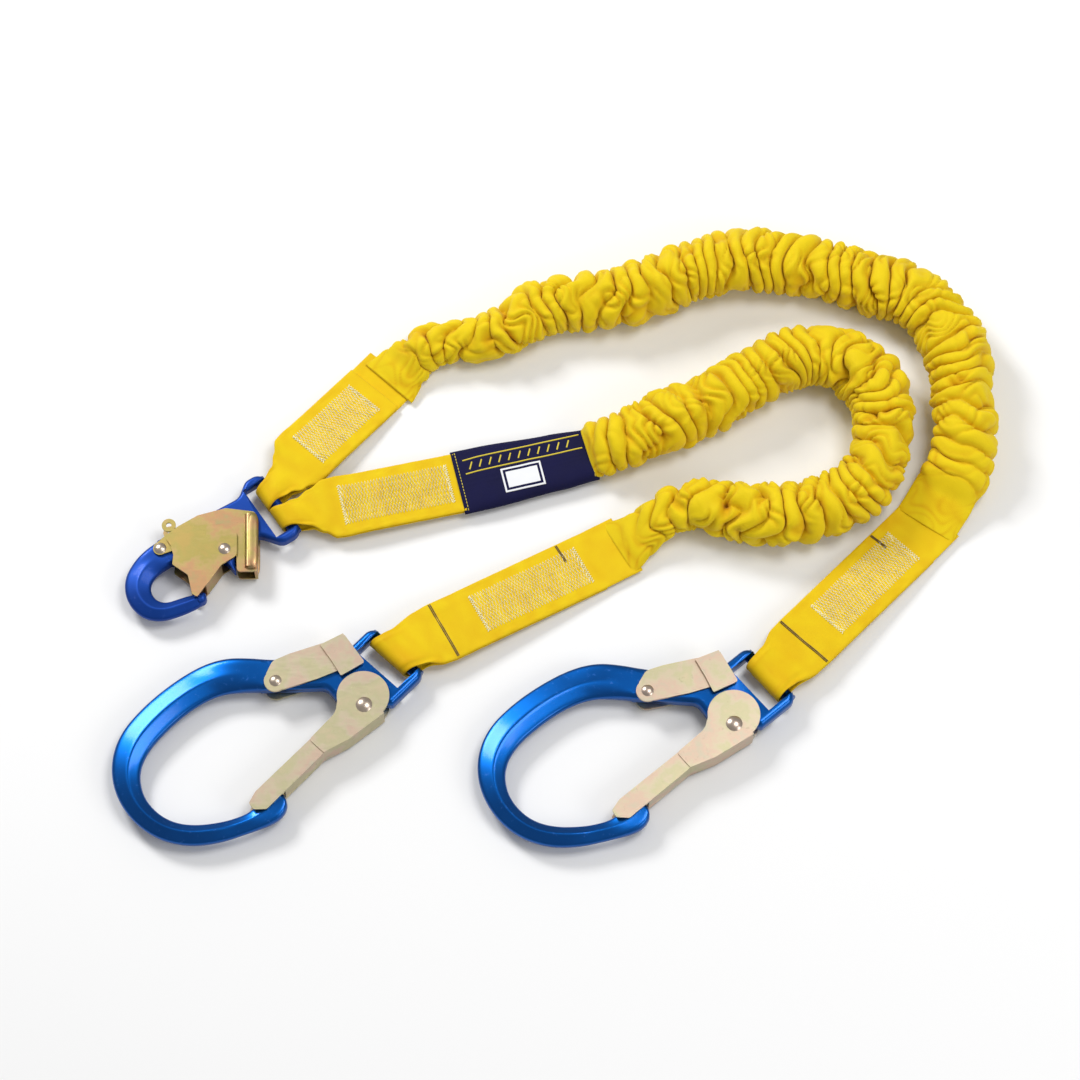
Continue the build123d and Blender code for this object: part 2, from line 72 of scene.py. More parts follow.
def makeLights():
    middle = Vector(cameraSetup["target"])
    for setup in lightSetup:
        lamp = bpy.data.lights.new(setup["name"], "AREA")
        lamp.shape = "SQUARE"
        lamp.size = setup["size"]
        lamp.energy = setup["power"]
        holder = bpy.data.objects.new(setup["name"], lamp)
        holder.location = setup["place"]
        holder.rotation_euler = (middle - holder.location).to_track_quat("-Z", "Y").to_euler()
        scene.collection.objects.link(holder)
    world = bpy.data.worlds.new("studio")
    world.use_nodes = True
    world.node_tree.nodes["Background"].inputs["Color"].default_value = (1, 1, 1, 1)
    world.node_tree.nodes["Background"].inputs["Strength"].default_value = 0.40
    scene.world = world


# shader wiring: a Wire is a socket that takes part in sums
class Wire:
    def __init__(self, finish, socket):
        self.finish = finish
        self.socket = socket

    def __add__(self, other):
        return self.finish.sum("ADD", self, other)

    def __radd__(self, other):
        return self.finish.sum("ADD", other, self)

    def __sub__(self, other):
        return self.finish.sum("SUBTRACT", self, other)

    def __rsub__(self, other):
        return self.finish.sum("SUBTRACT", other, self)

    def __mul__(self, other):
        return self.finish.sum("MULTIPLY", self, other)

    def __rmul__(self, other):
        return self.finish.sum("MULTIPLY", other, self)


class Finish:
    def __init__(self, name, **fixed):
        self.material = bpy.data.materials.new(name)
        self.material.use_nodes = True
        self.tree = self.material.node_tree
        self.shader = self.tree.nodes["Principled BSDF"]
        for label, value in fixed.items():
            self.shader.inputs[label.replace("_", " ")].default_value = value

    def node(self, kind, settings=None, inputs=None, output=0):
        made = self.tree.nodes.new(kind)
        for label, value in (settings or {}).items():
            if label == "stops":
                ramp = made.color_ramp
                while len(ramp.elements) < len(value):
                    ramp.elements.new(0.5)
                for stop, (place, colour) in zip(ramp.elements, value):
                    stop.position = place
                    stop.color = (*colour, 1)
            else:
                setattr(made, label, value)
        for label, value in (inputs or {}).items():
            socket = made.inputs[label]
            if isinstance(value, Wire):
                self.tree.links.new(value.socket, socket)
            elif isinstance(value, tuple) and socket.type == "RGBA":
                socket.default_value = (*value, 1)
            else:
                socket.default_value = value
        return Wire(self, made.outputs[output])

    def sum(self, operation, first, second):
        return self.node("ShaderNodeMath", {"operation": operation}, {0: first, 1: second})

    def clamp(self, value):
        return self.node("ShaderNodeClamp", None, {"Value": value, "Min": 0.0, "Max": 1.0})

    def blendColour(self, share, first, second):
        return self.node("ShaderNodeMix", {"data_type": "RGBA"}, {0: share, 6: first, 7: second}, 2)

    def objectPlace(self):
        return self.node("ShaderNodeTexCoord", output="Object")

    def uvPlace(self):
        return self.node("ShaderNodeTexCoord", output="UV")

    def attribute(self, name):
        return self.node("ShaderNodeAttribute", {"attribute_name": name}, output="Fac")

    def cloud(self, place, scale, detail=3.0, rough=0.55):
        return self.node("ShaderNodeTexNoise", None,
                         {"Vector": place, "Scale": scale, "Detail": detail, "Roughness": rough})

    def stripes(self, place, scale, direction="X", distortion=0.0):
        return self.node("ShaderNodeTexWave", {"bands_direction": direction},
                         {"Vector": place, "Scale": scale, "Distortion": distortion}, 1)

    def bump(self, height, strength, distance):
        return self.node("ShaderNodeBump", None,
                         {"Height": height, "Strength": strength, "Distance": distance})

    def feed(self, **wires):
        for label, wire in wires.items():
            self.tree.links.new(wire.socket, self.shader.inputs[label.replace("_", " ")])
        return self.material


# a fabric weave on a piece's own UV, in metres along and across the cloth
def weaveOf(finish, pitch):
    place = finish.uvPlace()
    scale = 0.5 / pitch
    ribs = finish.stripes(place, scale, "X", 0.4)
    picks = finish.stripes(place, scale * 0.8, "Y", 0.4)
    return ribs * 0.6 + picks * 0.4


def makeWebbing(name, crest, middle, creaseShade):
    finish = Finish(name, Sheen_Weight=0.06, Sheen_Roughness=0.5, Specular_IOR_Level=0.14)
    # painted shade: the colour runs from the crease shade colour in creases and pockets up to the lit crest
    # colour, with patches of tone varying at random
    fold = finish.attribute("fold")
    weave = weaveOf(finish, 1.3 * mm)
    patches = finish.cloud(finish.objectPlace(), 60.0, 4.0)
    shade = finish.clamp(fold + (patches - 0.5) * 0.35)
    colour = finish.node("ShaderNodeValToRGB", {"stops": [(0.0, creaseShade), (0.38, middle), (1.0, crest)]},
                         {"Fac": shade})
    # the weave's lines painted a little darker than the cloth
    weaveDarkened = finish.blendColour(weave * 0.22, colour, tuple(0.72 * c for c in middle))
    rough = 0.62 + (patches - 0.5) * 0.2
    fuzz = finish.cloud(finish.objectPlace(), 900.0, 2.0)
    return finish.feed(Base_Color=weaveDarkened, Roughness=rough,
                       Normal=finish.bump(weave * 0.7 + fuzz * 0.5, 0.55, 0.35 * mm))


def makeThread(name, light, dark):
    finish = Finish(name, Sheen_Weight=0.2, Specular_IOR_Level=0.4)
    strands = finish.stripes(finish.objectPlace(), 420.0, "DIAGONAL", 1.0)
    soil = finish.cloud(finish.objectPlace(), 90.0)
    colour = finish.blendColour(finish.clamp(strands * 0.4 + soil * 0.4), light, dark)
    return finish.feed(Base_Color=colour, Roughness=0.5 + soil * 0.25,
                       Normal=finish.bump(strands, 0.6, 0.2 * mm))


def makeSleeveCloth():
    finish = Finish("navySleeve", Specular_IOR_Level=0.10)
    weave = weaveOf(finish, 0.9 * mm)
    soil = finish.cloud(finish.objectPlace(), 45.0, 5.0)
    colour = finish.blendColour(soil, (0.004, 0.004, 0.028), (0.010, 0.010, 0.060))
    worn = finish.blendColour(weave * 0.15, colour, (0.016, 0.018, 0.07))
    return finish.feed(Base_Color=worn, Roughness=0.5 + soil * 0.3,
                       Normal=finish.bump(weave, 0.5, 0.25 * mm))


def makeAnodised(name, deep, bright, roughness, metallic, coat):
    finish = Finish(name, Coat_Roughness=0.12, Metallic=metallic)
    flow = finish.cloud(finish.objectPlace(), 25.0, 3.0)
    scuffs = finish.cloud(finish.objectPlace(), 240.0, 6.0, 0.7)
    marks = finish.clamp((scuffs - 0.60) * 9.0)
    colour = finish.blendColour(flow, deep, bright)
    worn = finish.blendColour(marks * 0.25, colour, tuple(min(1.0, 0.12 + 1.5 * c) for c in bright))
    return finish.feed(Base_Color=worn, Roughness=roughness + marks * 0.18 + flow * 0.06,
                       Coat_Weight=coat - marks * (0.7 * coat),
                       Normal=finish.bump(scuffs, 0.10, 0.15 * mm))


def makePlated(name, base, tints, roughness=0.30):
    finish = Finish(name, Metallic=1.0)
    place = finish.objectPlace()
    drift = finish.cloud(place, 34.0, 4.0, 0.6)
    tint = finish.node("ShaderNodeValToRGB", {"stops": tints}, {"Fac": drift})
    grain = finish.cloud(finish.node("ShaderNodeMapping", None,
                                     {"Vector": place, "Rotation": (0, 0, radians(38)),
                                      "Scale": (30, 420, 420)}), 4.0, 4.0, 0.6)
    spots = finish.clamp((finish.cloud(place, 170.0, 6.0, 0.7) - 0.6) * 7.0)
    colour = finish.blendColour(0.55, base, tint)
    aged = finish.blendColour(spots * 0.4, colour, tuple(0.45 * c for c in base))
    return finish.feed(Base_Color=aged, Roughness=roughness + grain * 0.16 + spots * 0.2,
                       Normal=finish.bump(grain, 0.18, 0.12 * mm))


def makeFilm(name, colour, other):
    finish = Finish(name, Specular_IOR_Level=0.5)
    soil = finish.cloud(finish.objectPlace(), 130.0, 4.0)
    return finish.feed(Base_Color=finish.blendColour(soil * 0.5, colour, other),
                       Roughness=0.35 + soil * 0.3, Normal=finish.bump(soil, 0.15, 0.2 * mm))


def makeFloorFinish():
    finish = Finish("paleFloor", Roughness=0.75, Specular_IOR_Level=0.2)
    grain = finish.cloud(finish.objectPlace(), 8.0)
    pale = floorSetup["colour"]
    return finish.feed(Base_Color=finish.blendColour(grain * 0.2, pale, tuple(0.985 * c for c in pale)))


finishes = {
    "yellowWebbing": makeWebbing("yellowWebbing", (0.83, 0.62, 0.006), (0.71, 0.41, 0.001),
                                 (0.36, 0.12, 0.001)),
    "absorberWeb": makeWebbing("absorberWeb", (0.80, 0.78, 0.70), (0.66, 0.64, 0.56), (0.3, 0.28, 0.22)),
    "elasticWeb": makeWebbing("elasticWeb", (0.62, 0.60, 0.52), (0.5, 0.48, 0.42), (0.2, 0.19, 0.16)),
    "paleThread": makeThread("paleThread", (0.95, 0.92, 0.66), (0.88, 0.82, 0.45)),
    "darkThread": makeThread("darkThread", (0.17, 0.10, 0.02), (0.08, 0.04, 0.01)),
    "yellowThread": makeThread("yellowThread", (0.80, 0.66, 0.06), (0.62, 0.46, 0.02)),
    "navySleeve": makeSleeveCloth(),
    "blueAnodised": makeAnodised("blueAnodised", (0.001, 0.060, 0.27), (0.002, 0.105, 0.42),
                                 0.31, 1.0, 0.26),
    "blueCoat": makeAnodised("blueCoat", (0.000, 0.032, 0.24), (0.001, 0.055, 0.33), 0.42, 0.7, 0.08),
    "platedSteel": makePlated("platedSteel", (0.56, 0.47, 0.31), [
        (0.32, (0.62, 0.52, 0.35)), (0.43, (0.50, 0.50, 0.29)), (0.50, (0.60, 0.52, 0.39)),
        (0.57, (0.64, 0.43, 0.37)), (0.68, (0.46, 0.50, 0.40))]),
    "brassPlated": makePlated("brassPlated", (0.42, 0.30, 0.11), [
        (0.32, (0.48, 0.35, 0.11)), (0.43, (0.38, 0.35, 0.10)), (0.50, (0.50, 0.37, 0.17)),
        (0.57, (0.56, 0.27, 0.18)), (0.68, (0.34, 0.35, 0.19))]),
    "rivetSteel": makePlated("rivetSteel", (0.56, 0.48, 0.40), [
        (0.3, (0.60, 0.50, 0.38)), (0.6, (0.56, 0.42, 0.36)), (0.8, (0.50, 0.50, 0.44))], 0.22),
    "springSteel": makePlated("springSteel", (0.42, 0.42, 0.42), [
        (0.3, (0.45, 0.44, 0.42)), (0.7, (0.36, 0.37, 0.40))], 0.28),
    "whiteFilm": makeFilm("whiteFilm", (0.82, 0.83, 0.85), (0.66, 0.67, 0.70)),
    "bookletFilm": makeFilm("bookletFilm", (0.84, 0.84, 0.80), (0.70, 0.70, 0.64)),
}
print("finishes ready:", len(finishes))


def keep(shape, name, materials, smooth=True):
    mesh = bpy.data.meshes.new(name)
    for face in shape.faces:
        face.smooth = smooth
    shape.to_mesh(mesh)
    shape.free()
    for material in materials:
        mesh.materials.append(material)
    made = bpy.data.objects.new(name, mesh)
    scene.collection.objects.link(made)
    return made


def makeFloor():
    shape = bmesh.new()
    bmesh.ops.create_grid(shape, x_segments=1, y_segments=1, size=floorSetup["size"] / 2)
    bmesh.ops.translate(shape, verts=shape.verts, vec=(0, 0, -floorSetup["drop"]))
    keep(shape, "floor", [makeFloorFinish()])


# round a section: the turn's cosine and sine, and a power that squares the section off
def roundAt(turn):
    angle = turn % 1.0 * 2 * pi
    return cos(angle), sin(angle)


def squared(value, power):
    return abs(value) ** power * (1 if value > 0 else -1)


# a grid of cloth laid out by a rule, which gives a place, a painted shade value and a UV
# from the shares along and across the grid
def layCloth(name, alongCount, acrossCount, rule, material, closed=False, capped=False):
    shape = bmesh.new()
    bmesh.ops.create_grid(shape, x_segments=alongCount, y_segments=acrossCount, size=0.5)
    uvLayer = shape.loops.layers.uv.new("cloth")
    paintedShadeLayer = shape.verts.layers.float.new("fold")
    laid = {}
    for vert in shape.verts:
        place, fold, uv = rule(vert.co.x + 0.5, vert.co.y + 0.5)
        # each vertex keeps its painted shade value, which the webbing finishes turn into darker creases and
        # lighter crests
        vert[paintedShadeLayer] = fold
        laid[vert] = uv
        vert.co = place
    for face in shape.faces:
        for loop in face.loops:
            loop[uvLayer].uv = laid[loop.vert]
    if closed:
        bmesh.ops.remove_doubles(shape, verts=shape.verts, dist=1e-6)
    if capped:
        edges = [edge for edge in shape.edges if edge.is_boundary]
        bmesh.ops.holes_fill(shape, edges=edges, sides=0)
    bmesh.ops.recalc_face_normals(shape, faces=shape.faces)
    return keep(shape, name, [material])


def ease(value, low, high):
    share = min(1.0, max(0.0, (value - low) / (high - low)))
    return share * share * (3 - 2 * share)


def along(table, value):
    if value <= table[0][0]:
        return table[0][1]
    for (a, first), (b, second) in zip(table, table[1:]):
        if value <= b:
            return first + (second - first) * ease(value, a, b)
    return table[-1][1]


# the line down the middle of a leg, read from its own spline
def readSpline(name, points):
    curve = bpy.data.curves.new(name, "CURVE")
    curve.dimensions = "3D"
    spline = curve.splines.new("NURBS")
    spline.points.add(len(points) - 1)
    for point, place in zip(spline.points, points):
        point.co = (*place, 1)
    spline.order_u = 3
    spline.use_endpoint_u = True
    spline.resolution_u = 24
    holder = bpy.data.objects.new(name, curve)
    mesh = bpy.data.meshes.new_from_object(holder)
    line = [vert.co.copy() for vert in mesh.vertices]
    bpy.data.meshes.remove(mesh)
    bpy.data.objects.remove(holder)
    bpy.data.curves.remove(curve)
    return line


class Line:
    def __init__(self, points):
        self.points = points
        self.marks = [0.0]
        for before, after in zip(points, points[1:]):
            self.marks.append(self.marks[-1] + (after - before).length)
        self.length = self.marks[-1]

    def at(self, distance):
        distance = min(max(distance, 0.0), self.length)
        low, high = 0, len(self.marks) - 1
        while high - low > 1:
            half = (low + high) // 2
            if self.marks[half] <= distance:
                low = half
            else:
                high = half
        share = (distance - self.marks[low]) / max(1e-9, self.marks[high] - self.marks[low])
        return self.points[low].lerp(self.points[high], share)

    def share(self, share):
        return self.at(share * self.length)

    def frameAt(self, distance, reach=6 * mm):
        ahead = (self.at(distance + reach) - self.at(distance - reach)).normalized()
        side = Vector((0, 0, 1)).cross(ahead).normalized()
        return self.at(distance), ahead, side, ahead.cross(side).normalized()


# gathered legs: tubular webbing bunched over the absorber core and its elastic
# girth rows: millimetres along, half width, half height, fold pitch, fold depth
# pocket rows: millimetres along, degrees round, size, sink
ruffle = {"ring": 1.1, "around": 92, "reach": 9, "wander": 1.05, "lean": 0.95, "push": 0.10,
          "finePitch": 1.7, "fineStir": 1.9, "fineHigh": 0.46, "pleatHigh": 0.2, "lumpHigh": 3.0,
          "pocketRise": 0.7, "pocketShade": 0.55, "floorFrom": 1.6, "floorLeast": 0.4, "floorSoft": 3}
legs = {
    "legA": {
        "node": "leg_a", "seed": 3.7, "diameter": 0.046,
        "route": [(-0.117, 0.190, 0.0035), (-0.100, 0.209, 0.006), (-0.076, 0.226, 0.013),
                  (-0.038, 0.2225, 0.0155), (-0.006, 0.243, 0.0175), (0.020, 0.257, 0.0195),
                  (0.060, 0.254, 0.0215), (0.099, 0.270, 0.023), (0.128, 0.2885, 0.0232),
                  (0.185, 0.297, 0.0232),
                  (0.262, 0.280, 0.0232), (0.316, 0.261, 0.0232), (0.343, 0.222, 0.0232),
                  (0.350, 0.165, 0.0232), (0.345, 0.112, 0.022), (0.331, 0.086, 0.012),
                  (0.314, 0.062, 0.004)],
        "girth": [(0, 26, 2.2, 23, 0), (14, 23, 5, 20.5, 1.4), (34, 17, 13, 16.5, 6.3),
                  (52, 15.5, 14, 17.5, 7.5), (80, 16, 14.5, 20.5, 6.9), (105, 18, 16.5, 16.5, 8.6),
                  (150, 19, 18, 15, 9.2),
                  (190, 21, 20.5, 16.5, 9.2), (240, 22.5, 21.5, 14.5, 8.5), (330, 22.5, 21.5, 12, 8),
                  (420, 22.5, 21.5, 15, 8.5), (520, 22.5, 21.5, 13, 8), (600, 23, 21, 15, 7.6),
                  (632, 24, 12, 17.5, 3.7), (655, 26, 3.4, 20.5, 0.6), (670, 26, 2.7, 20.5, 0)],
        "pockets": [(46, 70, 4.5, 8), (92, 120, 4.5, 7), (113, 60, 5.0, 9), (205, 250, 4.2, 8),
                    (300, 60, 4.4, 7), (438, 60, 4.5, 7), (560, 110, 4.4, 6)]},
    "legB": {
        "node": "leg_b", "seed": 11.3, "diameter": 0.046,
        "route": [(0.046, 0.1235, 0.010), (0.062, 0.128, 0.0165), (0.088, 0.1365, 0.0215),
                  (0.138, 0.161, 0.0225), (0.184, 0.187, 0.0232), (0.216, 0.208, 0.0232),
                  (0.255, 0.204, 0.0232),
                  (0.280, 0.176, 0.0232), (0.284, 0.135, 0.0232), (0.273, 0.096, 0.0232),
                  (0.244, 0.0735, 0.0225), (0.200, 0.060, 0.022), (0.156, 0.066, 0.0205),
                  (0.124, 0.077, 0.0175), (0.101, 0.062, 0.0145), (0.086, 0.051, 0.0095),
                  (0.069, 0.0415, 0.0035)],
        "girth": [(0, 22, 7, 12, 1.1), (8, 22.5, 15, 12, 5.3), (25, 22, 20, 13.5, 8),
                  (90, 20.5, 20, 16.5, 8.5),
                  (140, 21.5, 21, 13, 7.6), (190, 22, 21.5, 10, 7.4), (240, 23, 22, 17.5, 9.2),
                  (300, 22, 21.5, 14.5, 8.3), (360, 22, 21, 13.5, 8.3), (420, 21, 20.5, 17.5, 9.2),
                  (470, 20, 19, 20.5, 9.7), (505, 18, 16, 19, 8.5), (530, 15, 12, 17.5, 6),
                  (552, 20, 6, 20.5, 2.1), (572, 26, 2.7, 20.5, 0.2), (580, 26, 2.7, 20.5, 0)],
        "pockets": [(42, 250, 4.6, 8), (95, 90, 4.4, 7), (300, 120, 4.6, 8), (352, 130, 4.8, 8),
                    (445, 110, 5.2, 9), (472, 70, 5.5, 9), (512, 80, 4.8, 8)]},
}


def tableOf(rows, column):
    return [(row[0] * mm, row[column]) for row in rows]


# flat strips held inside a leg: ending, node, slot, finish, half thickness, lift off the middle line
legStrips = [("AbsorberCore", "_absorber_core", "absorber_web", "absorberWeb", 2.5, 1.25),
             ("ElasticBand", "_elastic_band", "elastic_web", "elasticWeb", 1.25, -2.5)]


def makeLeg(name, setup):
    line = Line(readSpline(name, setup["route"]))
    width, height = tableOf(setup["girth"], 1), tableOf(setup["girth"], 2)
    pitch, depth = tableOf(setup["girth"], 3), tableOf(setup["girth"], 4)
    seed = setup["seed"]
    rings = round(line.length / (ruffle["ring"] * mm))
    phases, travel = [0.0], 0.0
    for ring in range(rings):
        travel += line.length / rings / (along(pitch, ring * line.length / rings) * mm)
        phases.append(travel)
    frames = {}

    def rule(share, turn):
        ring = round(share * rings)
        distance = ring * line.length / rings
        if ring not in frames:
            frames[ring] = (line.frameAt(distance, ruffle["reach"] * mm), along(width, distance),
                            along(height, distance), along(pitch, distance), along(depth, distance))
        (centre, ahead, side, up), halfWide, halfHigh, pitchHere, deep = frames[ring]
        angle = turn % 1.0 * 2 * pi
        c, s = cos(angle), sin(angle)
        station = distance / mm
        wander = noise.noise(Vector((c * 0.7, s * 0.7, station / 34 + seed)))
        lean = noise.noise(Vector((c * 0.45, s * 0.45, station / 70 + seed * 3)))
        phase = phases[ring] + ruffle["wander"] * wander + ruffle["lean"] * lean
        crest = abs(cos(pi * phase)) ** 0.8
        big = 0.5 + 0.9 * noise.noise(Vector((c * 0.9 + 7, s * 0.9, station / 24 + seed)))
        stir = noise.noise(Vector((c * 1.25, s * 1.25 + 5, station / 19 - seed)))
        fine = abs(cos(pi * (phases[ring] * ruffle["finePitch"] + ruffle["fineStir"] * stir))) ** 0.85
        strong = min(1.2, max(0.15, 0.62 + 1.5 * noise.noise(Vector((c + 3, s + 8, station / 21 + seed)))))
        lump = noise.noise(Vector((c * 0.55, s * 0.55 + 9, station / 30 + seed * 2)))
        twist = station / 55 + seed
        edge = cos(angle - twist)
        pleat = (edge * edge) ** 4
        rise = deep * ((crest - 0.6) * (0.5 + 0.95 * big) + (fine - 0.65) * ruffle["fineHigh"] * strong
                       + pleat * ruffle["pleatHigh"])
        rise += min(1.0, deep / 3) * ruffle["lumpHigh"] * lump
        shade = 0.12 + 0.40 * crest + 0.52 * (1 - strong * (1 - fine)) + 0.06 * big
        for at, degreesRound, size, sink in setup["pockets"]:
            away = abs(station - at)
            if away < size * 3:
                sweep = abs((angle - radians(degreesRound) + pi) % (2 * pi) - pi) * halfWide
                near = (away / (size * 0.62)) ** 2 + (sweep / (size * 1.5)) ** 2
                if near < 7:
                    pull = exp(-near ** 1.5 * 0.8)
                    rise -= ruffle["pocketRise"] * sink * pull
                    shade -= ruffle["pocketShade"] * pull
        push = sin(2 * pi * phase) * pitchHere * ruffle["push"] * min(1.0, deep / 5) * (0.4 + big)
        tall = halfHigh + rise * min(1, halfHigh / 14)
        place = centre + side * (c * (halfWide + rise) * mm) + up * (s * tall * mm)
        place += ahead * (push * mm)
        if place.z < ruffle["floorFrom"] * mm:
            sunk = (place.z - ruffle["floorFrom"] * mm) / (ruffle["floorSoft"] * mm)
            place.z = ruffle["floorLeast"] * mm + 1.2 * mm * exp(sunk)
        return place, max(0.0, min(1.0, shade)), (distance * 2.2, turn * 0.14)

    cover = layCloth(name + "GatheredCover", rings, ruffle["around"], rule, finishes["yellowWebbing"],
                     True, True)
    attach(cover, "webbing")
    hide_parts(setup["node"] + "_gathered_cover")
    print(name, "length", round(line.length, 4), "rings", rings)

    for ending, node, slot, material, halfThick, lift in legStrips:
        def stripRule(share, turn, halfThick=halfThick, lift=lift):
            distance = 12 * mm + share * (line.length - 24 * mm)
            centre, ahead, side, up = line.frameAt(distance, ruffle["reach"] * mm)
            squeeze = min(1.0, along(height, distance) / 14)
            c, s = roundAt(turn)
            place = centre + side * (squared(c, 0.5) * 9 * mm) + up * ((s * halfThick + lift) * squeeze * mm)
            # painted shade: the strip's upper face lighter and its lower face darker
            return place, 0.6 + 0.3 * s, (distance, turn * 0.04)
        strip = layCloth(name + ending, round(line.length / (4 * mm)), 14, stripRule, finishes[material],
                         True, True)
        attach(strip, "webbing")
        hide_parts(setup["node"] + node)


makeCamera()
makeLights()
makeFloor()
for legName, legSetup in legs.items():
    makeLeg(legName, legSetup)
print("legs laid")


# end straps: flattened tubular webbing round an eye bar, sewn back on itself
webWidth = 52.0
layer = {"thick": 2.3, "apart": 1.35, "bar": 7.3, "throat": 27.0, "straighten": (4.0, 44.0), "level": 30,
         "step": 0.4, "floor": 0.25}
straps = {
    "legASnap": {"node": "leg_a_snap", "hook": "snap_hook", "side": 12.6, "end": (-0.1135, 0.1965),
                 "flare": [(0, 10), (14, 13.5), (25, 19.5), (37, 25.2), (48, 26)], "settle": (128, 2.9),
                 "freeTop": 129.0, "legEnd": 152.0, "sewn": (50, 116), "rows": 7, "seam": None, "roll": 3.0,
                 "shift": 3.5},
    "legBSnap": {"node": "leg_b_snap", "hook": "snap_hook", "side": -12.6, "end": (0.050, 0.124),
                 "flare": [(0, 10), (14, 13.5), (25, 19.5), (37, 25.2), (48, 26), (150, 26), (200, 20)],
                 "settle": (141, 7.7), "freeTop": 142.5, "legEnd": 250.0, "sewn": (46, 134), "rows": 7,
                 "seam": None, "roll": 3.0, "shift": 0.0},
    "legARebar": {"node": "leg_a_rebar", "hook": "right_rebar_hook", "side": 0.0, "end": (0.318, 0.066),
                  "flare": [(0, 19), (10, 20), (30, 25.5), (42, 26)], "settle": (172, 2.9),
                  "freeBottom": 168.0, "legEnd": 198.0, "sewn": (68, 160), "rows": 7, "seam": 40, "roll": 0.0,
                  "shift": 0.0},
    "legBRebar": {"node": "leg_b_rebar", "hook": "left_rebar_hook", "side": 0.0, "end": (0.070, 0.0425),
                  "flare": [(0, 19), (10, 20), (30, 25.5), (42, 26)], "settle": (181, 2.9),
                  "freeBottom": 176.0, "legEnd": 208.0, "sewn": (74, 168), "rows": 7, "seam": 42, "roll": 0.0,
                  "shift": 0.0},
}


class Strap:
    def __init__(self, name, setup):
        self.name = name
        self.setup = setup
        swing = joints[setup["hook"] + "_swing"]
        self.start = Vector(swing["pos_m"]) + Vector(swing["axis"]) * (setup["side"] * mm)
        self.height = self.start.z / mm
        run = Vector((*setup["end"], 0)) - Vector((self.start.x, self.start.y, 0))
        self.angle = atan2(run.y, run.x)
        self.frame = Matrix.Translation((self.start.x, self.start.y, 0)) @ Matrix.Rotation(self.angle, 4, "Z")
        bar = Matrix.Rotation(-self.angle, 3, "Z") @ Vector(swing["axis"])
        self.bar = bar if bar.y > 0 else -bar
        self.flare = setup["flare"]
        self.seed = 5.0 * len(name) + setup["end"][0] * 40

    def middle(self, x):
        settleX, settleZ = self.setup["settle"]
        level = layer["level"]
        if x < level:
            return self.height
        return settleZ + (self.height - settleZ) * max(0.0, 1 - (x - level) / (settleX - level))

    def gap(self, x):
        share = max(0.0, 1 - max(0.0, x) / layer["throat"])
        return layer["apart"] + (layer["bar"] - layer["apart"]) * share * share * (3 - 2 * share)

    def half(self, x):
        return along(self.flare, x)

    def acrossAt(self, x):
        return self.bar.lerp(Vector((0, 1, 0)), ease(x, *layer["straighten"]))

    def ripple(self, x, y):
        first, last = self.setup["sewn"]
        loose = 1 - ease(x, first - 12, first) * (1 - ease(x, last, last + 14))
        grounded = min(1.0, self.middle(x) / 8)
        wave = noise.noise(Vector((x / 17, y / 13, self.seed))) * 1.3 * loose * grounded
        pucker = (abs(noise.noise(Vector((x / 7, y / 4.2, self.seed + 9)))) - 0.2) * 0.8 * (1 - loose)
        drift = 1.5 * noise.noise(Vector((x / 15, y / 9, self.seed)))
        gather = 0.55 * cos(y * 0.9 + drift) * ease(-x, -30, -8)
        return wave + pucker * 0.8 + gather * (1 if x > -2 else 0.5)

    # a place on one layer: x along, y across, lift off the layer's own middle
    def surface(self, x, y, side, lift):
        step = layer["step"]
        z = self.middle(x) + side * self.gap(x) + self.ripple(x, y)
        ahead = self.middle(x + step) + side * self.gap(x + step)
        slope = (ahead - self.middle(x) - side * self.gap(x)) / step
        normal = Vector((-slope, 0, 1)).normalized()
        rolled = self.setup["roll"] * exp(-((x - 36) / 15) ** 2) * y / 26
        shifted = y + self.setup["shift"] * ease(x, 6, 50)
        spot = Vector((x, 0, z + rolled)) + self.acrossAt(x) * shifted + normal * (side * lift)
        return self.frame @ (spot * mm)


def makeStrap(name, setup):
    strap = Strap(name, setup)
    topEnd = setup.get("freeTop", setup["legEnd"])
    bottomEnd = setup.get("freeBottom", setup["legEnd"])
    bend = pi * layer["bar"]
    total = topEnd + bend + bottomEnd
    firstHalf = layer["thick"] / 2

    def rule(share, turn):
        travel = share * total
        c, s = roundAt(turn)
        across = squared(c, 0.28)
        thick = squared(s, 0.55)
        selvedge = 1.0 + 0.18 * exp(-((abs(across) - 0.93) / 0.045) ** 2)
        lift = thick * firstHalf * selvedge
        if travel < topEnd:
            x = topEnd - travel
            place = strap.surface(x, across * strap.half(x), 1, lift)
        elif travel > topEnd + bend:
            x = travel - topEnd - bend
            place = strap.surface(x, across * strap.half(x), -1, lift)
        else:
            turnHere = (travel - topEnd) / layer["bar"]
            y = across * strap.half(0)
            reach = layer["bar"] + lift + strap.ripple(0, y) * cos(turnHere)
            spot = Vector((-reach * sin(turnHere), 0, strap.height + reach * cos(turnHere))) + strap.bar * y
            place = strap.frame @ (spot * mm)
        place.z = max(place.z, layer["floor"] * mm)
        x = topEnd - travel if travel < topEnd else travel - topEnd - bend
        # painted shade: noise creases and the ripples' hollows darken the strap, and it darkens further round
        # the eye bar and within 14 mm of it
        paintedCrease = noise.noise(Vector((x / 9, across * 3, strap.seed)))
        shade = 0.72 + 0.2 * paintedCrease + 0.3 * (strap.ripple(max(x, 0), across * 26)) * 0.4
        if x < 14:
            shade -= 0.18 * ease(14 - x, 0, 14)
        return place, max(0.05, min(1.0, shade)), (travel * mm, across * 26 * mm + (0.06 if s < 0 else 0))

    made = layCloth(name + "Strap", round(total / 1.5), 48, rule, finishes["yellowWebbing"], True, True)
    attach(made, "webbing")
    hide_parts(setup["node"] + "_strap")
    total * mm
    setup["hook"] + "_body"
    return strap


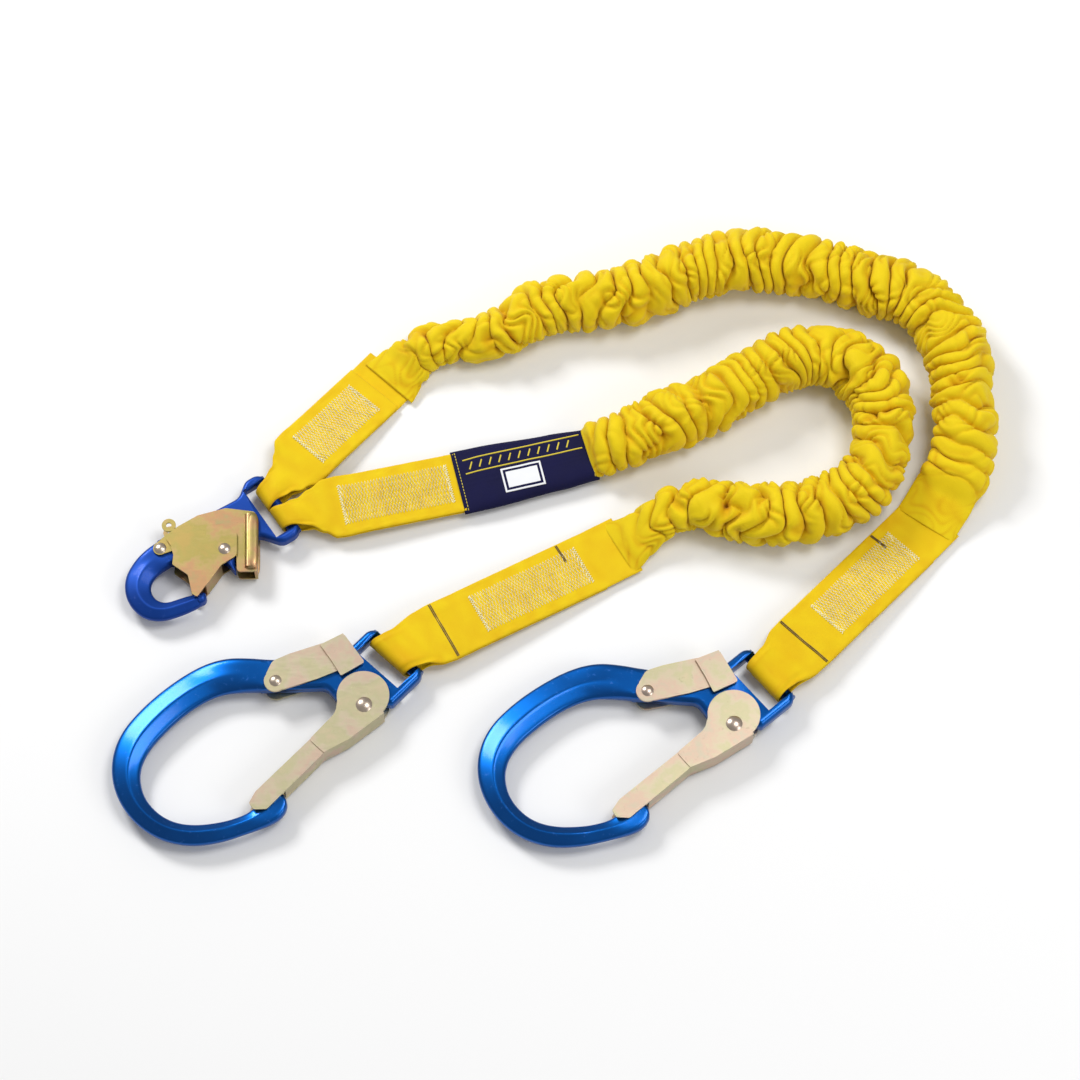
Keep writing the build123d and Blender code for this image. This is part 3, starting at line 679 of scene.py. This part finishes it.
def sewThread(name, runs, radius, material, sides=1):
    curve = bpy.data.curves.new(name, "CURVE")
    curve.dimensions = "3D"
    curve.bevel_depth = radius
    curve.bevel_resolution = sides
    curve.use_fill_caps = True
    for run in runs:
        spline = curve.splines.new("POLY")
        spline.points.add(len(run) - 1)
        for point, place in zip(spline.points, run):
            point.co = (*place, 1)
    holder = bpy.data.objects.new(name, curve)
    mesh = bpy.data.meshes.new_from_object(holder)
    bpy.data.objects.remove(holder)
    bpy.data.curves.remove(curve)
    mesh.name = name
    mesh.materials.clear()
    mesh.materials.append(material)
    mesh.shade_smooth()
    made = bpy.data.objects.new(name, mesh)
    scene.collection.objects.link(made)
    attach(made, "webbing")
    return made


stitch = {"margin": 9.0, "pitch": 2.5, "swing": 2.3, "radius": 0.47, "tack": 0.9, "tackPitch": 1.1}


def makeStitching(strap):
    setup = strap.setup
    first, last = setup["sewn"]
    inner = webWidth / 2 - stitch["margin"]
    shaker = random.Random(len(strap.name) + first)
    runs = []
    for side in (1, -1):
        lift = layer["thick"] / 2 + 0.2
        for row in range(setup["rows"]):
            middle = -inner + (row + 0.5) * 2 * inner / setup["rows"]
            run = []
            x, flip = first + shaker.uniform(0, 1.4), 1
            while x < last - 0.5:
                y = middle + flip * stitch["swing"] + shaker.uniform(-0.25, 0.25)
                run.append(strap.surface(x, y, side, lift))
                x += stitch["pitch"] / 2 + shaker.uniform(-0.15, 0.15)
                flip = -flip
            runs.append(run)
        # bar tacks close the block's two ends
        for x in (first, last):
            run = []
            count = round(inner * 2 / stitch["tackPitch"])
            for k in range(count + 1):
                away = stitch["tack"] if k % 2 else -stitch["tack"]
                run.append(strap.surface(x + away, -inner + k * 2 * inner / count, side, lift))
            runs.append(run)
    made = sewThread(strap.name + "Stitching", runs, stitch["radius"] * mm, finishes["paleThread"])
    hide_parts(setup["node"] + "_stitching")


seam = {"radius": 0.42, "lines": (0.0, 1.3), "pitch": 0.8, "tackLines": (0.0, 1.1), "tackBack": 12,
        "tackEdge": 24.5, "tackLean": 0.04}


def makeMarkingSeam(strap):
    setup = strap.setup
    lift = layer["thick"] / 2 + seam["radius"]
    runs = []
    for line in seam["lines"]:
        x = setup["seam"] + line
        runs.append([strap.surface(x, seam["pitch"] * k, 1, lift) for k in range(-31, 32)])
    # a short tack near the far edge of the stitch block
    tackX = setup["sewn"][1] - seam["tackBack"]
    for offset in seam["tackLines"]:
        runs.append([strap.surface(tackX + offset + k * seam["tackLean"], seam["tackEdge"] - k, 1, lift)
                     for k in range(0, 17, 2)])
    made = sewThread(strap.name + "MarkingSeam", runs, seam["radius"] * mm, finishes["darkThread"])
    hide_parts(setup["node"] + "_marking_seam")


builtStraps = {}
for strapName, strapSetup in straps.items():
    builtStraps[strapName] = makeStrap(strapName, strapSetup)
    makeStitching(builtStraps[strapName])
    if strapSetup["seam"]:
        makeMarkingSeam(builtStraps[strapName])
print("straps sewn:", len(builtStraps))


# absorber sleeve, with plain printed stripes and a framed blank label
sleeve = {"start": 140.5, "length": 112.0, "middle": 7.7, "wall": 1.1,
          "wide": [(0, 28.3), (20, 28), (80, 25), (112, 22.8)],
          "high": [(0, 3.4), (22, 5.6), (70, 6.2), (112, 6.6)]}
hem = {"inset": 3.2, "share": 0.93, "pitch": 2.8, "radius": 0.3, "lift": 0.15}
sleeveMarks = {"first": 8, "last": 104, "upper": 17.0, "lower": 4.6, "apart": 8, "lean": 3.0, "inset": 3.2,
               "radius": 0.62, "lift": 0.05}


def sleevePlace(x, y, face, lift=0.0):
    strap = builtStraps["legBSnap"]
    halfWide, halfHigh = along(sleeve["wide"], x), along(sleeve["high"], x)
    share = min(1.0, abs(y) / halfWide)
    crown = halfHigh * (1 - share ** 5) ** 0.5
    wrinkle = 0.55 * noise.noise(Vector((x / 19 + y / 40, y / 24, 2.5)))
    wrinkle += 0.25 * noise.noise(Vector((x / 8, y / 15, 8.1)))
    high = sleeve["middle"] + face * (crown + lift) + wrinkle * (1 - share ** 4)
    spot = Vector((sleeve["start"] + x, y, high))
    return strap.frame @ (spot * mm)


def makeSleeve():
    def rule(share, turn):
        x = share * sleeve["length"]
        c, s = roundAt(turn)
        y = squared(c, 0.45) * along(sleeve["wide"], x)
        place = sleevePlace(x, y, 1 if s >= 0 else -1)
        return place, 0.5, (x * mm, turn * 0.12)
    made = layCloth("absorberSleeve", 90, 88, rule, finishes["navySleeve"], True)
    wall = made.modifiers.new("wall", "SOLIDIFY")
    wall.thickness = sleeve["wall"] * mm
    wall.offset = -1
    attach(made, "webbing")
    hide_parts("absorber_sleeve")

    hems = []
    for x in (hem["inset"], sleeve["length"] - hem["inset"]):
        for face in (1, -1):
            half = along(sleeve["wide"], x) * hem["share"]
            y = -half
            while y < half - 2:
                hems.append([sleevePlace(x, y + k, face, hem["lift"]) for k in (0.0, 0.9, 1.8)])
                y += hem["pitch"]
    first, last = sleeveMarks["first"], sleeveMarks["last"]
    upper, lower = sleeveMarks["upper"], sleeveMarks["lower"]
    marks = [[sleevePlace(x, y, 1, sleeveMarks["lift"]) for x in range(first, last + 1, 3)]
             for y in (upper, lower)]
    for x in range(first + 4, last - 4, sleeveMarks["apart"]):
        steps = [k / 5 for k in range(6)]
        low, high = lower + sleeveMarks["inset"], upper - sleeveMarks["inset"]
        marks.append([sleevePlace(x + sleeveMarks["lean"] * k, low + (high - low) * k, 1, sleeveMarks["lift"])
                      for k in steps])
    made = sewThread("sleevePrintedStripes", marks, sleeveMarks["radius"] * mm, finishes["yellowThread"])
    made = sewThread("sleeveHemStitching", hems, hem["radius"] * mm, finishes["yellowThread"])


label = {"along": 52.0, "across": -9.0, "length": 33.0, "width": 21.0, "border": 1.7, "gap": 1.9,
         "thick": 0.35}


def makeLabel():
    def rule(share, across):
        x = label["along"] + (share - 0.5) * label["length"]
        y = label["across"] + (across - 0.5) * label["width"]
        return sleevePlace(x, y, 1, 0.15), 0.5, (x * mm, y * mm)
    made = layCloth("sleeveFaceLabel", 66, 42, rule, finishes["whiteFilm"])
    made.data.materials.append(finishes["navySleeve"])
    for face in made.data.polygons:
        uvs = [made.data.uv_layers[0].data[k].uv for k in face.loop_indices]
        x = sum(uv[0] for uv in uvs) / len(uvs) / mm - label["along"]
        y = sum(uv[1] for uv in uvs) / len(uvs) / mm - label["across"]
        inset = min(label["length"] / 2 - abs(x), label["width"] / 2 - abs(y))
        face.material_index = 1 if label["border"] < inset < label["border"] + label["gap"] else 0
    wall = made.modifiers.new("film", "SOLIDIFY")
    wall.thickness = label["thick"] * mm
    wall.offset = 1
    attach(made, "webbing")
    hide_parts("sleeve_face_label")


booklet = {"start": 24.0, "length": 68.0, "width": 34.0, "leaf": 0.5, "lift": 3.3, "gap": 0.35}


# the folded inspection record, on the strap inside the sleeve
def makeBooklet():
    strap = builtStraps["legBSnap"]
    radius = booklet["gap"] + booklet["leaf"] / 2
    bend = pi * radius
    total = 2 * booklet["length"] + bend

    def rule(share, turn):
        travel = share * total
        c, s = roundAt(turn)
        y = squared(c, 0.2) * booklet["width"] / 2
        lift = squared(s, 0.4) * booklet["leaf"] / 2
        if travel < booklet["length"]:
            x, z = booklet["length"] - travel, radius + lift
        elif travel > booklet["length"] + bend:
            x, z = travel - booklet["length"] - bend, -radius - lift
        else:
            turned = (travel - booklet["length"]) / radius
            x, z = -(radius + lift) * sin(turned), (radius + lift) * cos(turned)
        spot = Vector((sleeve["start"] + booklet["start"] + x, y, sleeve["middle"] + booklet["lift"] + z))
        return strap.frame @ (spot * mm), 0.5, (travel * mm, y * mm)
    made = layCloth("sleeveLabelBooklet", 120, 28, rule, finishes["bookletFilm"], True, True)
    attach(made, "webbing")
    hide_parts("sleeve_label_booklet")


makeSleeve()
makeLabel()
makeBooklet()
print("sleeve dressed")


# hook bodies: the head keeps the frame's own cut, and the bowl is drawn again with a soft ridge
# outer and inner are the bar's two edges in the hook's own millimetres, from the head to the nose
# cuts are a place and a direction each, where the frame's own bowl is taken off
hookBars = {
    "rebar": {
        "outer": [(-3, 62.0), (-20.6, 80.4), (-33.4, 97), (-47.4, 111), (-66, 120), (-92, 125),
                  (-119, 126.5), (-146, 123.5), (-168, 111), (-183, 91), (-189.6, 66), (-187, 41),
                  (-175, 19), (-156, 3), (-134, -8),
                  (-117, -16), (-106, -17.5), (-97, -13.5), (-94.8, -7)],
        "inner": [(-14, 38.2), (-27.2, 51.2), (-43, 67), (-57, 81), (-71, 91.5), (-92, 97.5),
                  (-116, 99), (-139, 97.5), (-157, 90), (-168.5, 75), (-172, 58), (-169, 41),
                  (-159, 26.5), (-143, 13.5), (-129, 6),
                  (-121, 3.6), (-108, 3.6), (-97.5, 2.6), (-95, -1)],
        "half": 6.95, "noseHalf": 6.0, "ridgeFrom": 0.13, "ridgeFull": 0.25, "ridgeTo": 0.86, "ridgeAt": 0.54,
        "cuts": [((-36, 78), (-0.69, 0.72)), ((-60, 0), (-1, 0))],
        "finish": "blueAnodised", "slot": "blue_rebar_hook"},
    "snap": {
        "outer": [(-20, 36.2), (-36, 38), (-50, 37.4), (-64, 34), (-77, 26.5), (-85, 14),
                  (-86.8, 0), (-83, -13), (-73, -22), (-60, -26), (-47, -28), (-38, -28),
                  (-33, -25), (-31.8, -22.5)],
        "inner": [(-22, 14), (-34, 15), (-46, 14.6), (-55, 13.6), (-62, 10.5), (-66.5, 5),
                  (-67.4, -2), (-65, -8),
                  (-60, -11.6), (-54, -13), (-46, -15), (-39, -17.6), (-35, -19.2), (-33, -20.6)],
        "half": 5.95, "noseHalf": 5.95, "ridgeFrom": 0.2, "ridgeFull": 0.36, "ridgeTo": 0.97, "ridgeAt": 0.5,
        "cuts": [((-40, 20), (-1, 0))], "finish": "blueCoat", "slot": "blue_snap_hook"},
}


def hookFrameOf(hook):
    pivot = joints[hook + "_gate_open"]["pos_m"]
    back = joints[hook + "_swing"]["axis"]
    return Matrix.Translation(pivot) @ Matrix.Rotation(atan2(-back[0], back[1]), 4, "Z")


def ridgedSection(share, roof, ridgeAt):
    flat = (1 - abs(2 * share - 1) ** 7) ** 0.42
    first, second = 0.40 + 0.60 * share / ridgeAt, 0.42 + 0.58 * (1 - share) / (1 - ridgeAt)
    soft = 22.0
    top = -(log(exp(-soft * first) + exp(-soft * second))) / soft
    ridged = top * (1 - abs(2 * share - 1) ** 16) ** 0.5
    return flat + (ridged - flat) * roof


def makeHookBody(hook, setup):
    place = hookFrameOf(hook)
    outer, inner = (Line(readSpline(hook + side, [(x, y, 0) for x, y in setup[side]]))
                    for side in ("outer", "inner"))
    count = len(setup["outer"]) - 1

    def rule(share, turn):
        side = 1 if turn % 1.0 < 0.5 else -1
        u = turn % 1.0 * 2 if side > 0 else 2 - turn % 1.0 * 2
        a = 0.5 - 0.5 * cos(pi * u)
        start, end = outer.share(share), inner.share(share)
        roof = ease(share, setup["ridgeFrom"], setup["ridgeFull"]) * (1 - ease(share, setup["ridgeTo"], 1.0))
        half = setup["half"] + (setup["noseHalf"] - setup["half"]) * ease(share, 0.80, 0.86)
        half *= 1 - 0.35 * ease(share, 0.985, 1.0)
        spot = start.lerp(end, a)
        spot.z = side * half * ridgedSection(min(1.0, max(0.0, a)), roof, setup["ridgeAt"])
        return place @ (spot * mm), 0.5, (share * 0.5, turn * 0.06)
    bar = layCloth(hook + "Bar", count * 11, 72, rule, finishes[setup["finish"]], True, True)

    body = bmesh.new()
    body.from_mesh(frame["nodes"][hook + "_body"].data)
    bmesh.ops.remove_doubles(body, verts=body.verts, dist=2e-6)
    for (x, y), (nx, ny) in setup["cuts"]:
        bmesh.ops.bisect_plane(body, geom=body.verts[:] + body.edges[:] + body.faces[:], dist=1e-7,
                               plane_co=place @ Vector((x * mm, y * mm, 0)),
                               plane_no=place.to_3x3() @ Vector((nx, ny, 0)), clear_outer=True)
        bmesh.ops.holes_fill(body, edges=[edge for edge in body.edges if edge.is_boundary], sides=0)
    body.from_mesh(bar.data)
    old = bar.data
    bpy.data.objects.remove(bar)
    bpy.data.meshes.remove(old)
    made = keep(body, hook + "Body", [finishes[setup["finish"]]])
    made.data.set_sharp_from_angle(angle=radians(32))
    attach(made, hook)
    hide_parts(hook + "_body")


for hook, kind in (("left_rebar_hook", "rebar"), ("right_rebar_hook", "rebar"), ("snap_hook", "snap")):
    makeHookBody(hook, hookBars[kind])
print("hook bodies drawn")


# the rounded thumb pads pressed out of the snap hook's lever, one on each side
thumbPad = {"middle": (21.9, -5.6), "turn": 57.9, "length": 50.0, "half": 5.6, "high": 3.55, "root": 1.0,
            "rollRadius": 3.4}


def makeThumbPad(side):
    place = hookFrameOf("snap_hook")
    top = max(vert.co.z for vert in frame["nodes"]["snap_hook_lock_lever"].data.vertices)
    level = (top - place.translation.z) / mm - thumbPad["rollRadius"]
    turned = radians(thumbPad["turn"])

    def rule(share, turn):
        closing = (1 - abs(2 * share - 1) ** 7) ** 0.5
        x = (share - 0.5) * thumbPad["length"]
        c, s = roundAt(turn)
        y = squared(c, 0.8) * thumbPad["half"] * closing
        tall = thumbPad["high"] if s * side > 0 else thumbPad["root"]
        z = side * level + squared(s, 0.8) * tall * closing
        spot = Vector((thumbPad["middle"][0] + x * cos(turned) - y * sin(turned),
                       thumbPad["middle"][1] + x * sin(turned) + y * cos(turned), z))
        return place @ (spot * mm), 0.5, (x * mm, y * mm)
    return layCloth("thumbPad", 60, 40, rule, finishes["brassPlated"], True, True)


# pressed plates: the frame's own gates and levers with their sheared edges softened
plateEdge = {"offset": 0.32, "segments": 2, "sharp": 40.0, "broad": 80.0}


def softenPlates(node, body, name, finish, extras=()):
    shape = bmesh.new()
    shape.from_mesh(frame["nodes"][node].data)
    bmesh.ops.remove_doubles(shape, verts=shape.verts, dist=2e-6)
    bmesh.ops.dissolve_limit(shape, angle_limit=radians(1.0), verts=shape.verts, edges=shape.edges)
    sharp = [edge for edge in shape.edges
             if len(edge.link_faces) == 2 and edge.calc_face_angle(0) > radians(plateEdge["sharp"])]
    bmesh.ops.bevel(shape, geom=sharp, offset=plateEdge["offset"] * mm, affect="EDGES", offset_type="OFFSET",
                    segments=plateEdge["segments"], profile=0.5, material=-1, clamp_overlap=True)
    shape.normal_update()
    for edge in shape.edges:
        if len(edge.link_faces) == 2:
            broad = max(face.calc_area() for face in edge.link_faces) > plateEdge["broad"] * mm * mm
            edge.smooth = edge.calc_face_angle(0) < radians(4 if broad else 22)
    for extra in extras:
        shape.from_mesh(extra.data)
        spare = extra.data
        bpy.data.objects.remove(extra)
        bpy.data.meshes.remove(spare)
    made = keep(shape, name, [finish])
    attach(made, body)
    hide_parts(node)


for hook in ("left_rebar_hook", "right_rebar_hook", "snap_hook"):
    plating = finishes["brassPlated" if hook == "snap_hook" else "platedSteel"]
    pads = [makeThumbPad(side) for side in (1, -1)] if hook == "snap_hook" else ()
    softenPlates(hook + "_gate", hook + "_gate", hook + "GatePlates", plating)
    softenPlates(hook + "_lock_lever", hook + "_lock", hook + "LockLeverPlates", plating, pads)
print("plates softened")


# rivets and springs keep their own shapes and take their finish here
hardwareFinish = {
    "_gate_rivet": "rivetSteel", "_lever_rivet": "rivetSteel",
    "_gate_spring": "springSteel", "_lever_spring": "springSteel"}
for nodeName, node in frame["nodes"].items():
    for ending, finishName in hardwareFinish.items():
        if nodeName.endswith(ending):
            for materialSlot in node.material_slots:
                materialSlot.material = finishes[finishName]
print("hardware finished")
